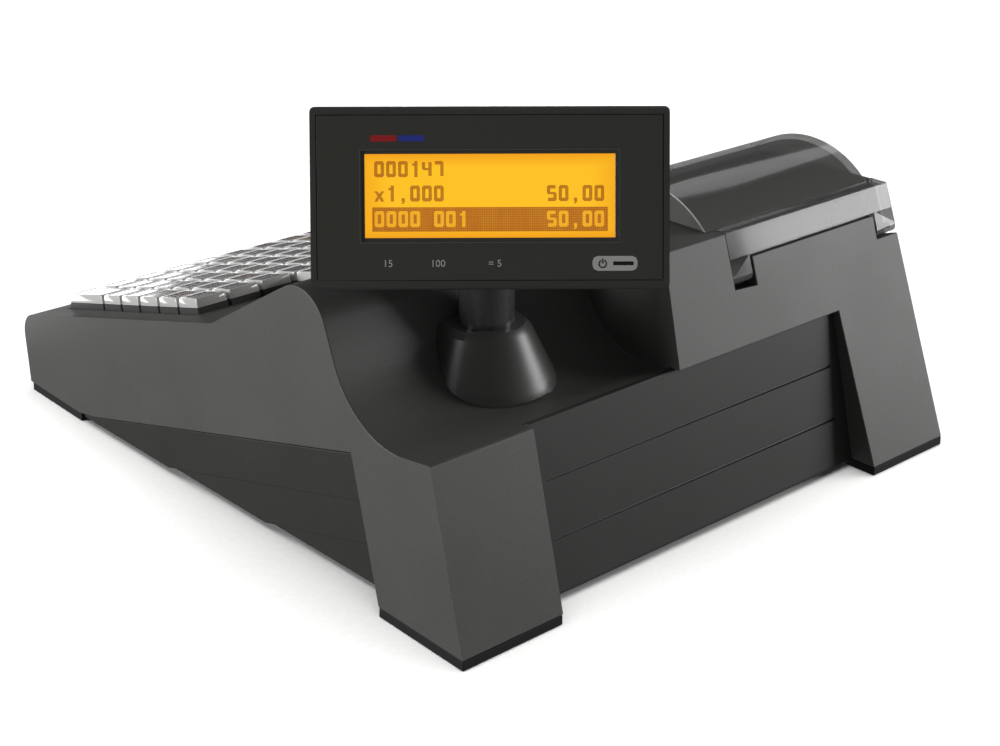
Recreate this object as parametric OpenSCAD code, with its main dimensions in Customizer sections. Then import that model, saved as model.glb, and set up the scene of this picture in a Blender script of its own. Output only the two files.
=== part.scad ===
// Compact desktop cash register: sloping keyboard, swivelling customer display on a pole,
// and a receipt printer under a clear domed lid.
// Frame: +Z up, origin at the centre of the footprint on the desk, +X to the operator's right,
// +Y away from the operator. Millimetres.

/* [Casing] */
// Width of the casing over its feet
foot_w = 330; // [326:1:340]
// Depth of the casing over its feet
foot_d = 380; // [376:1:390]
// Thickness of the moulded walls
wall = 3; // [2.4:0.2:3.2]
// Thickness of the rubber foot pads
pad_h = 4.6; // [4:0.2:6]
// Lean of the side faces, in degrees
side_lean = 3.8; // [2:0.2:5]
// Lean of the back face, in degrees
back_lean = 18.4; // [17:0.2:19]
// Length of one rear leg along the casing's width
leg_w = 57; // [50:1:60]

/* [Keyboard] */
// Distance between neighbouring columns of keys
column_pitch = 19.4; // [19:0.1:19.5]
// Distance between neighbouring rows of keys
row_pitch = 20.5; // [20:0.1:20.6]
// Gap between neighbouring key caps
key_gap = 1.6; // [1.2:0.1:2.2]
// Height of the key caps above the deck
cap_height = 7.7; // [6:0.1:9]

/* [Customer display] */
// Width of the display's housing
display_w = 151; // [140:1:156]
// Height of the display's housing
display_h = 77; // [70:1:78]
// Depth of the display's housing
display_t = 18; // [16:0.5:20]
// Height of the centre of its face above the desk
display_z = 179.5; // [178:0.5:190]
// Direction that it faces, in degrees from the operator's side
display_yaw = 139.6; // [120:0.2:180]
// Backward tilt of its face, in degrees
display_tilt = 20; // [10:1:24]
// Radius of the pole
pole_r = 12.8; // [11:0.1:13]

/* [Printer] */
// Outer radius of the domed lid
dome_r = 55; // [54:0.5:56]
// Thickness of the lid's clear shell
lid_wall = 2.5; // [2:0.1:2.8]
// Radius of a full paper roll
roll_r = 35; // [20:1:36]
// Width of the paper
paper_w = 79.5; // [57:0.5:80]

/* [Nodes] */
// Sub-part to draw

/* [Hidden] */
$fn = 96;
slack = 0.3;                       // gap between neighbouring mouldings
running = 0.05;                    // radial clearance of a pin that turns
big = 400;
columns = 15;
key_columns = [for (c = [1:columns]) str("key_column_", c < 10 ? "0" : "", c)];

half_w = foot_w / 2;
front_y = -foot_d / 2;
rear_y = foot_d / 2;
function side_x(z) = half_w - (z - pad_h) * tan(side_lean);
function back_y(z) = rear_y - (z - pad_h) * tan(back_lean);

// The deck climbs from the nose to the kink, and the steeper display slope from there to the crest.
deck_lean = 15.35;
deck_y = front_y + 13;
deck_z = 48.3;
function deck_height(y) = deck_z + (y - deck_y) * tan(deck_lean);
kink_y = -1.7;
kink_z = deck_height(kink_y);
slope_lean = 30.6;
function slope_height(y) = kink_z + (y - kink_y) * tan(slope_lean);
rim_z = 84;                        // height of the scoop's rear rim and of the top of the legs
module_z = 136;                    // flat top of the printer housing
module_y = kink_y + (module_z - kink_z) / tan(slope_lean);

// Side view of the underside's slanting edge, parallel to the deck.
under_y = 109.5;
under_z = 70.2;
function under_height(y) = under_z + (y - under_y) * tan(deck_lean);
leg_front_y = 132;                 // front of a rear leg at its foot
foot_rear_y = front_y + 56.4;      // rear end of a front foot

// Outlines: corners are [across, up, radius], anticlockwise.
function flat(p) = [p[0], p[1]];
function unit(v) = v / norm(v);
function cross_of(u, v) = u[0] * v[1] - u[1] * v[0];
function rounded_corner(a, b, c, r) =
    r <= 0 ? [b] :
    let (
        u = unit(a - b),
        v = unit(c - b),
        half = acos(u * v) / 2,
        centre = b + unit(u + v) * r / sin(half),
        from = b + u * r / tan(half) - centre,
        to = b + v * r / tan(half) - centre,
        start = atan2(from[1], from[0]),
        turn = (atan2(to[1], to[0]) - start + 540) % 360 - 180,
        steps = max(2, ceil(abs(turn) / 6))
    )
    [for (i = [0:steps]) centre + r * [cos(start + turn * i / steps), sin(start + turn * i / steps)]];
function outline(corners) =
    let (n = len(corners))
    [for (i = [0:n - 1]) each rounded_corner(
        flat(corners[(i + n - 1) % n]), flat(corners[i]), flat(corners[(i + 1) % n]), corners[i][2])];
function meet(p, u, q, v) = p + u * cross_of(q - p, v) / cross_of(u, v);
// The same corners with every edge moved inwards by t.
function inset(corners, t) =
    let (n = len(corners))
    [for (i = [0:n - 1])
        let (
            a = flat(corners[(i + n - 1) % n]),
            b = flat(corners[i]),
            c = flat(corners[(i + 1) % n]),
            u = unit(b - a),
            v = unit(c - b),
            p = meet(a + t * [-u[1], u[0]], u, b + t * [-v[1], v[0]], v),
            bulges = cross_of(u, v) > 0
        )
        [p[0], p[1], corners[i][2] == 0 ? 0 : max(0, corners[i][2] + (bulges ? -t : t))]];
function rounded_box(w, h, r) =
    outline([[-w / 2, -h / 2, r], [w / 2, -h / 2, r], [w / 2, h / 2, r], [-w / 2, h / 2, r]]);

// Draws a side view (y, z) and extrudes it along X from x0 to x1.
module along_x(x0, x1) translate([x0, 0, 0]) rotate([90, 0, 90]) linear_extrude(x1 - x0) children();
module rod_x(y, z, r, x0, x1) translate([x0, y, z]) rotate([0, 90, 0]) cylinder(r = r, h = x1 - x0);
module block(x, y, z) translate([x[0], y[0], z[0]]) cube([x[1] - x[0], y[1] - y[0], z[1] - z[0]]);
module both_sides() { children(); mirror([1, 0, 0]) children(); }
// Everything between the two leaning side faces, moved inwards by t.
module between_sides(t)
    translate([0, big, 0]) rotate([90, 0, 0]) linear_extrude(2 * big)
        polygon([
            [-side_x(-50) + t, -50], [side_x(-50) - t, -50],
            [side_x(250) - t, 250], [-side_x(250) + t, 250]
        ]);
module on_deck() translate([0, deck_y, deck_z]) rotate([deck_lean, 0, 0]) children();
module on_slope() translate([0, kink_y, kink_z]) rotate([slope_lean, 0, 0]) children();
module on_back() translate([0, back_y(module_z), module_z]) rotate([back_lean, 0, 0]) children();

// ---- casing -------------------------------------------------------------------------------

crest = meet([kink_y, kink_z], [cos(slope_lean), sin(slope_lean)], [111.7, 76.1], [-0.4415, 0.8973]);
nose = [front_y - 8.6, deck_height(front_y - 8.6)];
function front_face_y(z) = nose[0] + 6.8 * (nose[1] - z) / (nose[1] - pad_h);
top_corners = [
    [back_y(rim_z), rim_z, 1.5],
    [111.7, 76.1, 48],
    [crest[0], crest[1], 22],
    [kink_y, kink_z, 14],
    [nose[0], nose[1], 12]
];
shell_corners = concat([
    [front_y - 1.8, pad_h, 0.8],
    [foot_rear_y, pad_h, 0],
    [-120.5, under_height(-120.5), 0],
    [under_y, under_z, 0],
    [leg_front_y, pad_h, 0],
    [rear_y, pad_h, 0]
], top_corners);
module_corners = [
    [20, 72, 0], [back_y(72), 72, 0],
    [back_y(module_z), module_z, 1.2], [module_y, module_z, 16], [20, slope_height(20), 0]
];
// The hollow inside runs out through the bottom.
hollow_corners = concat([[front_face_y(-45), -45, 0], [back_y(-45), -45, 0]], top_corners);
module_hollow_corners = [
    [22, 40, 0], [back_y(40), 40, 0],
    [back_y(module_z), module_z, 0], [module_y, module_z, 8], [22, slope_height(22), 0]
];

// The wall between the scoop and the printer housing leans a little.
divide_x = 11.7;
divide_lean = 5.4;
module left_of_divide(t)
    translate([divide_x - t, 0, rim_z]) rotate([0, -divide_lean, 0])
        translate([-big, -big, -big / 2]) cube([big, 2 * big, big]);

// A rear leg's space: grow > 0 makes it larger on its free faces, ahead moves its front face forwards.
leg_in_x = half_w - leg_w;
leg_lean = (leg_front_y - under_y) / (under_z - pad_h);
module leg_space(grow, top, ahead = 0)
    intersection() {
        translate([0, big / 2, 0]) rotate([90, 0, 0]) linear_extrude(big)
            polygon([
                [leg_in_x - grow, pad_h - 40], [big, pad_h - 40], [big, top],
                [leg_in_x - (top - pad_h) * tan(side_lean) - grow, top],
                [leg_in_x - grow, pad_h]
            ]);
        along_x(0, big) polygon([
            [leg_front_y + 10 * leg_lean - grow - ahead, pad_h - 10], [big, pad_h - 10], [big, top],
            [leg_front_y - (top - pad_h) * leg_lean - grow - ahead, top]
        ]);
    }

// The lid's hinge arms, lip and ledge sit in recesses of the housing's back and top.
arm_left = [-157, -142.7];
arm_right = [-47.5, -34];
hinge_depth = 3.6;
hinge_drop = 22;
hinge_y = back_y(module_z) + hinge_drop * sin(back_lean) - hinge_depth * cos(back_lean);
hinge_z = module_z - hinge_drop * cos(back_lean) - hinge_depth * sin(back_lean);
ledge_z = 133.2;
module lid_recesses() {
    on_back() {
        block([-141.3, arm_right[0] - 1.4], [-3.4, 20], [-14.2, 20]);
        block([arm_right[0] - 1.5, arm_right[1] + 0.5], [-7.6, 20], [-28, 20]);
        block([-big / 2, arm_left[1] + 1.5], [-7.6, 20], [-26.4, 20]);
    }
    block([-big / 2, arm_right[1] + 0.5], [136, 200], [ledge_z, 200]);
    block([-144, -31], [64, 138], [90, 200]);
}

// Columns of keys are counted from the operator's right. The first three are one row shorter.
key_w = column_pitch - key_gap;
key_d = row_pitch - key_gap;
first_row = 3.7;
keys_right = columns * column_pitch / 2;
function column_x(c) = keys_right - (c - 0.5) * column_pitch;
function rows_in(c) = c <= 3 ? 7 : 8;
module keyboard_area(margin, z0, z1)
    on_deck() {
        block([-keys_right - margin, keys_right + margin],
              [first_row - margin, first_row + 7 * row_pitch - key_gap + margin], [z0, z1]);
        block([-keys_right - margin, keys_right - 3 * column_pitch + margin],
              [first_row + 6 * row_pitch, first_row + 8 * row_pitch - key_gap + margin], [z0, z1]);
    }

window_x = [18, 142];
window_s = [10, 62];
slot_x = [-136, -54];
slot_y = [39.5, 46.5];

pole_x = 80.4;
pole_y = 107;
boss_z = 77;
scoop_end = 156.5;                 // the scoop's floor ends in front of the lower casing's wall

screw_spots = [[150.5, -150], [-150.5, -150], [150.5, -45], [-150.5, -45], [60, 140], [-60, 150]];
function floor_z(y) = y < -125 ? 5 : 3.4;
function post_top(spot) = spot[1] < 0 ? deck_height(spot[1]) - 1.5 : (spot[0] > 0 ? 79 : 111);

// Room for the paper bay, whose bottom reaches down behind the top of the left leg.
module bay_room()
    intersection() {
        rod_x(dome_y, 97, bay_r + 2.5, bay_x[0] - 2.5, bay_x[1] + 2.5);
        block([-200, 0], [0, 200], [0, 97.5]);
    }

module upper_casing() color("#5b5b59") difference() {
    union() {
        difference() {
            intersection() {
                union() {
                    along_x(-big / 2, big / 2) polygon(outline(shell_corners));
                    intersection() {
                        along_x(-big / 2, 30) polygon(outline(module_corners));
                        left_of_divide(0);
                    }
                }
                between_sides(0);
            }
            difference() {
                intersection() {
                    union() {
                        along_x(-big / 2, big / 2) polygon(outline(inset(hollow_corners, wall)));
                        difference() {
                            intersection() {
                                along_x(-big / 2, 30) polygon(outline(inset(module_hollow_corners, wall)));
                                left_of_divide(wall);
                            }
                            // solid rail behind the lid's recesses
                            on_back() {
                                block([-170, -28], [-5.6, 5], [-22, 5]);
                                for (x = [[-170, -138.4], [-51.5, -28]]) block(x, [-10, 5], [-32, 5]);
                            }
                            block([-170, -28], [137.5, 160], [129.8, 140]);
                        }
                    }
                    between_sides(wall);
                }
                both_sides() {
                    leg_space(0, under_z - 1, 3);
                    // walls that close the space over each leg, behind the paper bay
                    intersection() {
                        difference() {
                            leg_space(0, rim_z, 3);
                            leg_space(-wall, rim_z + 1, 2.5);
                        }
                        block([0, big], [139, big], [0, big]);
                    }
                }
            }
            // hollow of each leg, open at the foot
            both_sides() intersection() {
                leg_space(-wall, under_z - 1 - wall);
                between_sides(wall);
                along_x(0, big) polygon([[0, -20], [back_y(-20) - wall, -20], [back_y(90) - wall, 90], [0, 90]]);
            }
            // between the legs the back wall starts at the rim
            intersection() {
                translate([0, big, 0]) rotate([90, 0, 0]) linear_extrude(2 * big)
                    polygon([
                        [-leg_in_x, -20], [leg_in_x, -20], [leg_in_x, pad_h],
                        [leg_in_x - (rim_z + 2 - pad_h) * tan(side_lean), rim_z + 2],
                        [-leg_in_x + (rim_z + 2 - pad_h) * tan(side_lean), rim_z + 2],
                        [-leg_in_x, pad_h]
                    ]);
                union() {
                    along_x(-big / 2, big / 2) polygon([[140, -20], [big, -20], [big, 80.2], [158, 80.2], [140, 70]]);
                    along_x(divide_x - wall, big / 2)
                        polygon([[scoop_end, 70], [big, 70], [big, rim_z], [scoop_end, rim_z]]);
                    along_x(-big / 2, divide_x - wall)
                        polygon([[140, 60], [big, 60], [big, rim_z], [140, rim_z]]);
                }
            }
        }
        // boss under the scoop for the pole's nut, and the screw posts
        intersection() {
            translate([pole_x, pole_y, boss_z]) cylinder(r = 20, h = 40);
            along_x(0, 200) polygon(outline(inset(shell_corners, 1)));
        }
        for (s = screw_spots)
            translate([s[0], s[1], floor_z(s[1]) + 3.3]) cylinder(r = 4, h = post_top(s) - floor_z(s[1]) - 3.3);
    }
    lid_recesses();
    keyboard_area(0.8, -12, 6);
    on_slope() {
        block(window_x, window_s, [-1.8, 10]);
        block([window_x[0] + 8, window_x[1] - 8], [window_s[0] + 7, window_s[1] - 9], [-10, 10]);
    }
    block(slot_x, slot_y, [100, 150]);
    translate([pole_x, pole_y, 50]) cylinder(r = pole_r + 0.1, h = 100);
    for (s = screw_spots) translate([s[0], s[1], 0]) cylinder(r = 1.5 + running, h = 24);
    rod_x(hinge_y, hinge_z, 1.5, -141.4, -137);
    rod_x(hinge_y, hinge_z, 1.5, -52.6, -30);
    bay_room();
}

// The lower casing steps in by bands that run parallel to the underside's edge.
band_1 = 22.6;
band_2 = 44.3;
lower_rear = [[176.1, floor_z(0)], [160.6, 80]];
lower_top = rim_z - 0.4;
function lower_rear_y(z) = lower_rear[0][0]
    - (z - lower_rear[0][1]) * (lower_rear[0][0] - lower_rear[1][0]) / (80 - lower_rear[0][1]);
lower_corners = [
    [-131, floor_z(0), 0],
    [lower_rear[0][0], lower_rear[0][1], 1.5],
    [lower_rear_y(lower_top), lower_top, 0],
    [scoop_end + 0.6, lower_top, 0], [scoop_end + 0.3, 79.4, 0], [155, 76, 0], [112.3, 76, 0],
    [under_y, under_z - slack, 0],
    [-120.5, under_height(-120.5) - slack, 0],
    [-131, pad_h + 0.3, 0]
];
module band(from, to, corners, width) intersection() {
    along_x(-big / 2, big / 2) polygon(outline(corners));
    translate([0, under_y, under_z]) rotate([deck_lean, 0, 0]) block([-200, 200], [-300, 200], [-to, -from]);
    intersection_for (m = [0, 1]) mirror([m, 0, 0]) translate([width, 0, 0])
        rotate([0, 1.75, 1.5]) translate([-600, -300, -300]) cube(600);
}
// Each band's half width is given at the middle of the casing's length, at desk level.
module bands(corners, t) {
    band(-60, band_1, corners, half_w - 4.1 - t);
    band(band_1 - 0.01, band_2, corners, half_w - 6.5 - t);
    band(band_2 - 0.01, 120, corners, half_w - 8.8 - t);
}
lower_hollow_corners = [
    [-126, floor_z(0) + wall, 0],
    [lower_rear[0][0] - 2.6, floor_z(0) + wall, 0],
    [lower_rear[1][0] - wall - 3.6, 100, 0],
    [50, 100, 0], [-126, 50, 0]
];
socket_y = [-6, 16, 38];
module lower_casing() color("#333331") difference() {
    union() {
        difference() {
            union() {
                bands(lower_corners, 0);
                block([-161.2, 161.2], [front_y + 2.6, -121], [5, 8]);
            }
            bands(lower_hollow_corners, wall);
            both_sides() leg_space(0.4, 200);
        }
        // walls round the legs
        intersection() {
            difference() {
                bands(lower_corners, 0);
                both_sides() leg_space(0.4, 200);
            }
            both_sides() leg_space(0.4 + wall, 200);
        }
        // standoffs of the main board
        for (x = [-132, 42], y = [-52, 92]) translate([x, y, 5]) cylinder(r = 3.5, h = 7);
    }
    // grooves across the back
    for (z = [28.8, 56])
        block([-97, 97], [lower_rear_y(z) - 1, 200], [z, z + 1.1]);
    for (s = screw_spots) translate([s[0], s[1], 0]) {
        cylinder(r = 1.7, h = 20);
        translate([0, 0, floor_z(s[1]) - 5]) cylinder(r = 3.4, h = 7);
    }
    bay_room();
    // mouths of the sockets, on the operator's left
    block([-170, -140], [socket_y[0] - 5.5, socket_y[0] + 5.5], [13.4, 24.6]);
    block([-170, -140], [socket_y[1] - 8.5, socket_y[1] + 8.5], [13.4, 27.6]);
    block([-170, -140], [socket_y[2] - 8.5, socket_y[2] + 8.5], [13.4, 27.6]);
}

module rear_foot_pads() color("#161616") both_sides() union() {
    intersection() {
        between_sides(0.3);
        block([leg_in_x + 0.3, 200], [leg_front_y + 0.4, rear_y], [0, pad_h]);
    }
    block([leg_in_x + wall + 0.6, half_w - wall - 1.2], [leg_front_y + wall + 1, rear_y - wall - 2.2], [pad_h - 1, pad_h + 3]);
}
module front_foot_pads() color("#161616") both_sides() difference() {
    intersection() {
        between_sides(0.3);
        block([leg_in_x + 0.3, 200], [front_y, foot_rear_y - 0.6], [0, pad_h]);
    }
    translate([screw_spots[0][0], screw_spots[0][1], -1]) cylinder(r = 3.6, h = 20);
}

module case_screws() color("#9a9a9c") for (s = screw_spots) translate([s[0], s[1], floor_z(s[1])])
    difference() {
        union() {
            translate([0, 0, 0.3]) cylinder(r = 3, h = 1.7);
            cylinder(r = 1.5, h = 17);
        }
        translate([0, 0, -0.1]) cylinder(r = 1.2, h = 1.3, $fn = 6);
    }

// ---- keyboard -----------------------------------------------------------------------------

frame_depth = -3.4;                // top of the keyboard frame under the deck's surface
module keyboard_frame() color("#232323") difference() {
    keyboard_area(0.5, frame_depth - 2, frame_depth);
    on_deck() for (c = [1:columns])
        block([column_x(c) - 4, column_x(c) + 4],
              [first_row + 3, first_row + rows_in(c) * row_pitch - key_gap - 3], [-20, 5]);
}
module keyboard_rubber_mat() color("#777777") keyboard_area(-1, frame_depth - 5.6, frame_depth - 4.4);
module keyboard_board() color("#1f5a34") keyboard_area(0, frame_depth - 7.4, frame_depth - 5.7);

// One key: a skirt, a clear cap with bevelled rims and a stem through the frame.
module key(x, s, depth) {
    block([x - key_w / 2, x + key_w / 2], [s, s + depth], [-0.9, 2.8]);
    block([x - key_w / 2 + 0.2, x + key_w / 2 - 0.2], [s + 0.2, s + depth - 0.2], [2.7, cap_height - 0.7]);
    block([x - key_w / 2 + 0.9, x + key_w / 2 - 0.9], [s + 0.9, s + depth - 0.9], [2.7, cap_height]);
    block([x - 3, x + 3], [s + depth / 2 - 3, s + depth / 2 + 3], [frame_depth - 2.2, 0]);
}
module key_column(c) color("#c9c9c6") on_deck() {
    double = c == 1;
    if (double) key(column_x(c), first_row, row_pitch + key_d);
    for (r = [double ? 2 : 0 : rows_in(c) - 1]) key(column_x(c), first_row + r * row_pitch, key_d);
}

// ---- operator's display -------------------------------------------------------------------

module operator_window() color("#30302e") on_slope() difference() {
    block([window_x[0] + 0.3, window_x[1] - 0.3], [window_s[0] + 0.3, window_s[1] - 0.3], [-1.8, -0.1]);
    block([window_x[0] + 12, window_x[1] - 12], [window_s[0] + 10, window_s[1] - 12], [-1, 1]);
}
module operator_lcd() color("#ffc020") on_slope()
    block([window_x[0] + 4, window_x[1] - 4], [window_s[0] + 3, window_s[1] - 5], [-6.4, -3.1]);
module operator_board() color("#1f5a34") on_slope()
    block([window_x[0] + 1, window_x[1] - 1], [window_s[0], window_s[1] - 2], [-8.4, -6.8]);

// ---- pole and customer display ------------------------------------------------------------

pedestal_top = 110.5;
pole_foot = 66;
pole_top = 140;
spigot_r = pole_r - 3.8;
module pole_pedestal() color("#3a3a39") difference() {
    hull() for (back = [0, 26]) translate([pole_x, pole_y - back, 0]) {
        translate([0, 0, 71.5]) cylinder(r = 35, h = 1, $fn = 64);
        translate([0, 0, 84]) cylinder(r = 31, h = 2, $fn = 64);
        translate([0, 0, pedestal_top - 4]) cylinder(r = 20.6, h = 1, $fn = 64);
        translate([0, 0, pedestal_top - 0.2]) cylinder(r = 17.5, h = 0.2, $fn = 64);
    }
    translate([0, 0, 0.25]) along_x(-big / 2, big / 2) polygon(outline(shell_corners));
    translate([pole_x, pole_y, 50]) cylinder(r = pole_r + 0.1, h = 100);
}
module display_pole() color("#2b2b2c") translate([pole_x, pole_y, 0]) difference() {
    translate([0, 0, pole_foot]) cylinder(r = pole_r, h = pole_top - pole_foot);
    translate([0, 0, pole_foot - 1]) cylinder(r = spigot_r, h = 90);
}
module pole_nut() color("#2a2a2a") translate([pole_x, pole_y, boss_z - 7.1]) difference() {
    union() {
        cylinder(r = 18, h = 7, $fn = 6);
        translate([0, 0, 5]) cylinder(r = 19, h = 2);
    }
    translate([0, 0, -1]) cylinder(r = pole_r + 0.05, h = 20);
}

// The display stands in front of the pole. Its frame has X to a viewer's right and Y into it.
face_reach = 34;
side_shift = 1.5;
tilt_y = -13.5;
tilt_z = display_z - 16.5;
module on_pole() translate([pole_x, pole_y, 0]) rotate([0, 0, display_yaw]) children();
module on_display() on_pole() translate([side_shift, -face_reach, display_z])
    rotate([-display_tilt, 0, 0]) children();
module swivel_head() color("#242424") on_pole() difference() {
    union() {
        translate([0, 0, pole_top - 25]) cylinder(r = spigot_r - running, h = 30);
        translate([0, 0, pole_top + 0.1]) cylinder(r = pole_r, h = 9);
        along_x(-8, 8) polygon([
            [10, pole_top + 5], [-11, pole_top + 5], [tilt_y - 5.6, tilt_z - 2],
            [tilt_y, tilt_z], [tilt_y + 2, tilt_z + 5.6], [4, tilt_z]
        ]);
        rod_x(tilt_y, tilt_z, 6, -8, 8);
    }
    rod_x(tilt_y, tilt_z, 2 + running, -9, 9);
    // bore for the display's cable
    translate([0, 0, pole_top - 26]) cylinder(r = 5, h = 33);
}
module tilt_pin() color("#b0b0b2") on_pole() rod_x(tilt_y, tilt_z, 2, -14.5, 14.5);

half_h = display_h / 2;
bezel_t = 6;
panel_w = display_w - 5;
panel_h = 69.6;
panel_up = 0;
lcd_w = 105.2;
lcd_h = 35.1;
lcd_up = 0.9;
// Side view (depth, up) of the whole housing, with a full round along its top front edge.
housing_side = [[0, -half_h, 1.5], [display_t, -half_h, 3], [display_t, half_h, 3], [0, half_h, 4.2]];
module housing(t, y0, y1) intersection() {
    along_x(-display_w, display_w) polygon(outline(inset(housing_side, t)));
    translate([0, y1, 0]) rotate([90, 0, 0]) linear_extrude(y1 - y0)
        polygon(rounded_box(display_w - 2 * t, display_h - 2 * t, 2.4));
}
module display_rear_shell() color("#2e2e2c") difference() {
    union() {
        on_display() difference() {
            housing(0, bezel_t + 0.1, display_t);
            difference() {
                housing(2.2, -1, display_t - 2.2);
                for (x = [-66, 66], z = [-31, 31])
                    translate([x, 30, z]) rotate([90, 0, 0]) cylinder(r = 3.4, h = 40);
            }
        }
        on_pole() for (x = [[-14, -8.2], [8.2, 14]]) {
            rod_x(tilt_y, tilt_z, 5.4, x[0], x[1]);
            along_x(x[0], x[1]) polygon([
                [tilt_y - 4, tilt_z + 4], [tilt_y - 5.2, tilt_z - 3.4], [tilt_y - 8.2, tilt_z - 3],
                [tilt_y - 6, tilt_z + 5.5], [tilt_y - 2, tilt_z + 5]
            ]);
        }
    }
    on_pole() rod_x(tilt_y, tilt_z, 2.02, -20, 20);
    on_display() for (x = [-66, 66], z = [-31, 31]) {
        translate([x, 30, z]) rotate([90, 0, 0]) cylinder(r = 1.3, h = 40);
        translate([x, 30, z]) rotate([90, 0, 0]) cylinder(r = 2.6, h = 30 - display_t + 2);
    }
}
module display_front_bezel() color("#333331") on_display() difference() {
    housing(0, 0, bezel_t);
    block([-panel_w / 2, panel_w / 2], [-1, 1.6], [panel_up - panel_h / 2, panel_up + panel_h / 2]);
    block([-lcd_w / 2 - 4, lcd_w / 2 + 4], [-1, 10], [lcd_up - lcd_h / 2 - 4, lcd_up + lcd_h / 2 + 4]);
    housing(2.4, 3.6, 12);
}
module display_panel() color("#33332f") on_display() difference() {
    block([-panel_w / 2 + 0.3, panel_w / 2 - 0.3], [0.1, 1.5],
          [panel_up - panel_h / 2 + 0.3, panel_up + panel_h / 2 - 0.3]);
    block([-lcd_w / 2 - 1.4, lcd_w / 2 + 1.4], [-1, 0.6], [lcd_up - lcd_h / 2 - 1.6, lcd_up + lcd_h / 2 + 1.6]);
    block([-lcd_w / 2, lcd_w / 2], [-1, 3], [lcd_up - lcd_h / 2, lcd_up + lcd_h / 2]);
}
module display_lcd() color("#ffc020") on_display()
    block([-lcd_w / 2 - 3.5, lcd_w / 2 + 3.5], [1.7, 6], [lcd_up - lcd_h / 2 - 3.5, lcd_up + lcd_h / 2 + 3.5]);
module display_board() color("#1f5a34") on_display()
    block([-60, 60], [6.6, 8.2], [-30, 30]);
module display_screws() color("#9a9a9c") on_display() for (x = [-66, 66], z = [-31, 31])
    translate([x, display_t - 0.2, z]) rotate([90, 0, 0]) {
        cylinder(r = 2.4, h = 1.6);
        cylinder(r = 1.25, h = 10);
    }

// ---- printer ------------------------------------------------------------------------------

dome_y = 101;
dome_z = 97.5;
dome_x = [-148, -27];
module printer_lid() color("#80808080") union() {
    difference() {
        rod_x(dome_y, dome_z, dome_r, dome_x[0], dome_x[1]);
        rod_x(dome_y, dome_z, dome_r - lid_wall, dome_x[0] + lid_wall, dome_x[1] - lid_wall);
        translate([0, 0, 0.25]) along_x(-big / 2, big / 2) polygon(outline(module_corners));
        block([-200, 0], [137, 200], [0, ledge_z + 1.5]);
        block([-200, 0], [0, 200], [0, module_z - 14]);
    }
    intersection() {
        difference() {
            block([arm_left[0] - 3, arm_right[1]], [136.6, 160], [ledge_z + 0.3, module_z + 0.3]);
            on_back() block([-200, 0], [0, 20], [-50, 50]);
        }
        between_sides(0);
    }
    intersection() {
        on_back() {
            block([arm_left[0] - 3, arm_right[1]], [-2.8, 0], [-12.9, 0]);
            for (x = [[arm_left[0] - 3, arm_left[1]], arm_right]) difference() {
                union() {
                    block(x, [-6.9, -0.2], [-hinge_drop, -0.8]);
                    rod_x(-hinge_depth, -hinge_drop, 3.3, x[0], x[1]);
                }
                rod_x(-hinge_depth, -hinge_drop, 1.48 + running, -200, 0);
            }
        }
        between_sides(0);
    }
}
module lid_hinge_pins() color("#b0b0b2") {
    rod_x(hinge_y, hinge_z, 1.48, -155.5, -137.5);
    rod_x(hinge_y, hinge_z, 1.48, -52, -30.5);
}

bay_x = [-136, -54];
bay_r = roll_r + 2;
bay_top = 129;
module paper_bay() color("#2c2c2b") difference() {
    union() {
        intersection() {
            rod_x(dome_y, 97, bay_r + 2, bay_x[0] - 2, bay_x[1] + 2);
            block([-200, 0], [0, 200], [0, 100]);
        }
        block([bay_x[0] - 2, bay_x[1] + 2], [dome_y - bay_r - 2, dome_y + bay_r + 2], [97, bay_top]);
        block([-149, -25], [62.5, 135.5], [bay_top - 2.2, bay_top]);
    }
    rod_x(dome_y, 97, bay_r, bay_x[0], bay_x[1]);
    block(bay_x, [dome_y - bay_r, dome_y + bay_r], [97, 200]);
    block([bay_x[0] + 0.5, bay_x[1] - 0.5], [50, 70], [99, 104]);
}
roll_x = (bay_x[0] + bay_x[1]) / 2;
roll_z = 97 - bay_r + roll_r + 0.3;
core_r = 8;
module paper_roll() color("#f1f0ea") difference() {
    rod_x(dome_y, roll_z, roll_r, roll_x - paper_w / 2, roll_x + paper_w / 2);
    rod_x(dome_y, roll_z, core_r, -200, 0);
}
module paper_core() color("#b79a72") difference() {
    rod_x(dome_y, roll_z, core_r - 0.02, roll_x - paper_w / 2, roll_x + paper_w / 2);
    rod_x(dome_y, roll_z, core_r - 1.6, -200, 0);
}

platen_y = 48;
platen_z = 109;
platen_r = 7;
cheek_x = [[-139, -137], [-53, -51]];
gear_x = [-143.6, -139.6];
tooth = 0.8;                       // module of the printer's gears
platen_teeth = 20;
idler_teeth = 24;
motor_teeth = 12;
idler_turn = -60;                  // direction from the platen's axis to the idler's
motor_turn = 200;                  // direction from the idler's axis to the motor's
function reach(a, b) = tooth * (a + b) / 2 + 0.05;
idler_y = platen_y + reach(platen_teeth, idler_teeth) * cos(idler_turn);
idler_z = platen_z + reach(platen_teeth, idler_teeth) * sin(idler_turn);
motor_y = idler_y + reach(idler_teeth, motor_teeth) * cos(motor_turn);
motor_z = idler_z + reach(idler_teeth, motor_teeth) * sin(motor_turn);
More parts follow.
